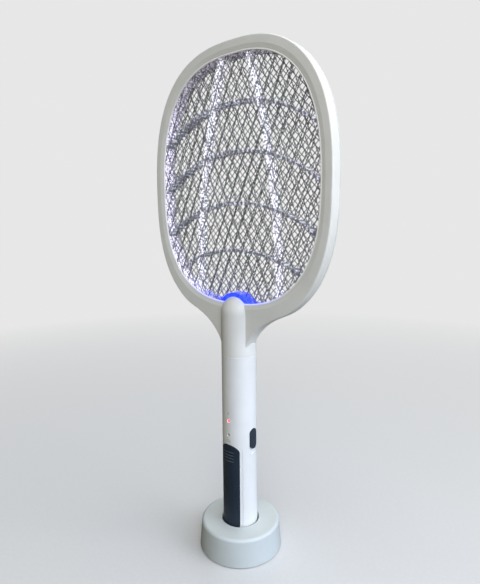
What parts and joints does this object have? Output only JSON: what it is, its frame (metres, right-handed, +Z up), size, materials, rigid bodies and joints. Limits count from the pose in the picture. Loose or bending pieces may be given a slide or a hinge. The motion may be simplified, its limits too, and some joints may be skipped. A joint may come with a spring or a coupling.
{
  "type": "electric fly swatter",
  "caption": "Racket-shaped electric fly swatter standing in a round charging stand, with wire grids on a ribbed oval head, a press trigger, a side switch and a lamp.",
  "frame": {"origin": "centre of the stand's base, on the surface it stands on", "axes": "+Z up along the handle, front of the racket (trigger, lights, lamp dome) towards -Y, side mode switch on +X"},
  "size_m": [0.213, 0.0858, 0.5008],
  "materials": {
    "head_shell_white": "satin",
    "handle_white": "satin",
    "stand_green_grey": "satin",
    "trigger_navy": "matte",
    "knob_navy": "matte",
    "clear_rib": "clear",
    "lamp_blue": "translucent",
    "outer_wire": "satin",
    "middle_wire": "satin",
    "bright_steel": "bright",
    "contact_brass": "bright",
    "board_green": "satin",
    "black_plastic": "matte",
    "chassis_white": "matte",
    "transformer_yellow": "satin",
    "capacitor_red": "gloss",
    "battery_sleeve": "gloss",
    "light_red": "lit",
    "light_clear": "clear",
    "led_white": "gloss",
    "rubber_grey": "matte",
    "ballast_steel": "rough"
  },
  "bodies": {
    "stand": {"stand_shell": "stand_green_grey", "stand_bottom_cover": "stand_green_grey", "stand_foot_ring": "rubber_grey", "stand_ballast": "ballast_steel", "stand_contact_board": "board_green", "stand_contact_studs": "contact_brass", "charging_socket": "bright_steel", "stand_screws": "bright_steel"},
    "racket": {"head_front_frame": "head_shell_white", "head_rear_frame": "head_shell_white", "front_outer_grid": "outer_wire", "rear_outer_grid": "outer_wire", "high_voltage_grid": "middle_wire", "front_rib_spacer": "clear_rib", "rear_rib_spacer": "clear_rib", "lamp_lens": "lamp_blue", "lamp_board": "board_green", "lamp_leds": "led_white", "head_screws": "bright_steel", "handle_tube": "handle_white", "end_cap": "handle_white", "inner_chassis": "chassis_white", "charge_contact_pads": "contact_brass", "main_circuit_board": "board_green", "high_voltage_transformer": "transformer_yellow", "high_voltage_capacitors": "capacitor_red", "battery_cell": "battery_sleeve", "battery_contacts": "bright_steel", "indicator_leds": "led_white", "charge_light_pipe": "light_red", "power_light_pipe": "light_clear", "neck_screw": "bright_steel", "trigger_switch_body": "black_plastic", "mode_switch_body": "black_plastic", "trigger_pivot_pin": "bright_steel", "trigger_return_spring": "bright_steel"},
    "trigger": {"grip_trigger": "trigger_navy"},
    "switch_plunger": {"trigger_switch_plunger": "black_plastic"},
    "mode_knob": {"mode_switch_knob": "knob_navy"}
  },
  "joints": [
    {"name": "racket_lift", "type": "slide", "parent": "stand", "child": "racket", "axis": [0, 0, 1], "range_m": [0, 0.06]},
    {"name": "trigger_press", "type": "hinge", "parent": "racket", "child": "trigger", "pos_m": [0, -0.0095, 0.024], "axis": [-1, 0, 0], "range_deg": [0, 2], "stiffness_Nm_per_rad": 6, "springref_deg": -1.15},
    {"name": "switch_plunge", "type": "slide", "parent": "racket", "child": "switch_plunger", "axis": [0, 1, 0], "range_m": [0, 0.0013]},
    {"name": "mode_slide", "type": "slide", "parent": "racket", "child": "mode_knob", "axis": [0, 0, -1], "range_m": [0, 0.0055]}
  ],
  "couplings": [
    {"joint": "switch_plunge", "follows": "trigger_press", "m_per_rad": 0.036}
  ]
}
